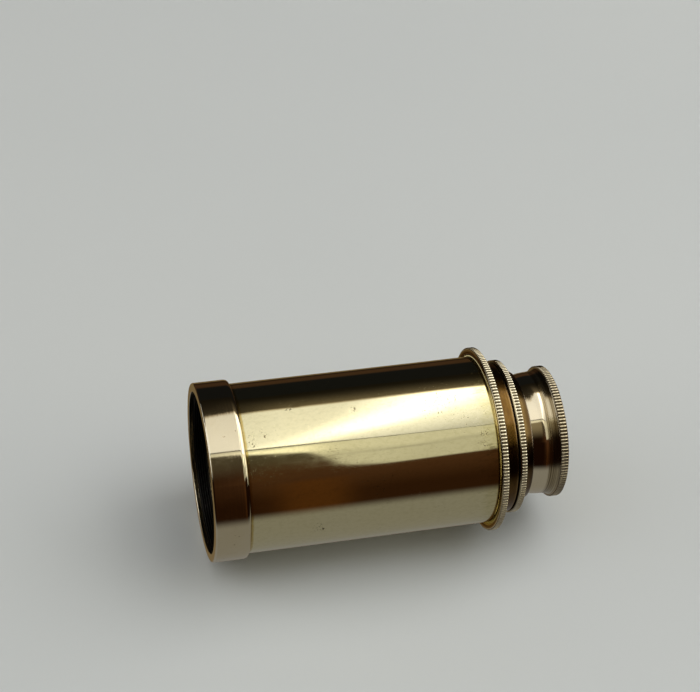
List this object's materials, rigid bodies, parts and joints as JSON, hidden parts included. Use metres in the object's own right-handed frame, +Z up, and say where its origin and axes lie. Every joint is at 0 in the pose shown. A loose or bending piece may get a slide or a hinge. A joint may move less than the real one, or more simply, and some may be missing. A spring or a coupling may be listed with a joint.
{
  "type": "pocket telescope",
  "caption": "Small brass pocket telescope: lacquered barrel with a pale bezel, and two sliding draws that end in knurled collars and an eye cup.",
  "frame": {"origin": "centre of the objective rim, on the optical axis, with the draws pushed closed", "axes": "+X along the optical axis from the objective towards the eye, +Z up, +Y across"},
  "size_m": [0.0772, 0.0402, 0.0402],
  "materials": {
    "lacquered_brass": "mirror-polished yellow brass under clear lacquer, with small tarnish pits",
    "polished_brass": "polished pale brass with fine turning lines; straight knurl on the rings",
    "lens_glass": "clear polished lens glass",
    "lining_felt": "dense black felt",
    "blackened_brass": "matt black lacquer over brass"
  },
  "bodies": {
    "barrel": {"barrel_tube": "lacquered_brass", "objective_bezel": "polished_brass", "objective_cell": "blackened_brass", "objective_crown_lens": "lens_glass", "objective_flint_lens": "lens_glass", "objective_retaining_ring": "blackened_brass", "barrel_baffle": "blackened_brass", "barrel_collar": "polished_brass", "barrel_collar_felt": "lining_felt"},
    "draw_1": {"draw_1_tube": "lacquered_brass", "draw_1_stop_ring": "lacquered_brass", "draw_1_baffle": "blackened_brass", "draw_1_collar": "polished_brass", "draw_1_collar_felt": "lining_felt"},
    "draw_2": {"draw_2_tube": "lacquered_brass", "draw_2_stop_ring": "lacquered_brass", "erector_tube": "blackened_brass", "erector_front_lens": "lens_glass", "erector_front_ring": "blackened_brass", "erector_stop": "blackened_brass", "erector_rear_lens": "lens_glass", "erector_rear_ring": "blackened_brass", "eyepiece_tube": "blackened_brass", "field_lens": "lens_glass", "field_lens_ring": "blackened_brass", "field_stop": "blackened_brass", "eyepiece_cup": "polished_brass", "eye_cap": "polished_brass", "eye_lens": "lens_glass", "eye_lens_ring": "blackened_brass"}
  },
  "joints": [
    {"name": "draw_1_slide", "type": "slide", "parent": "barrel", "child": "draw_1", "axis": [1, 0, 0], "range_m": [0, 0.038]},
    {"name": "draw_2_slide", "type": "slide", "parent": "draw_1", "child": "draw_2", "axis": [1, 0, 0], "range_m": [0, 0.038]}
  ]
}
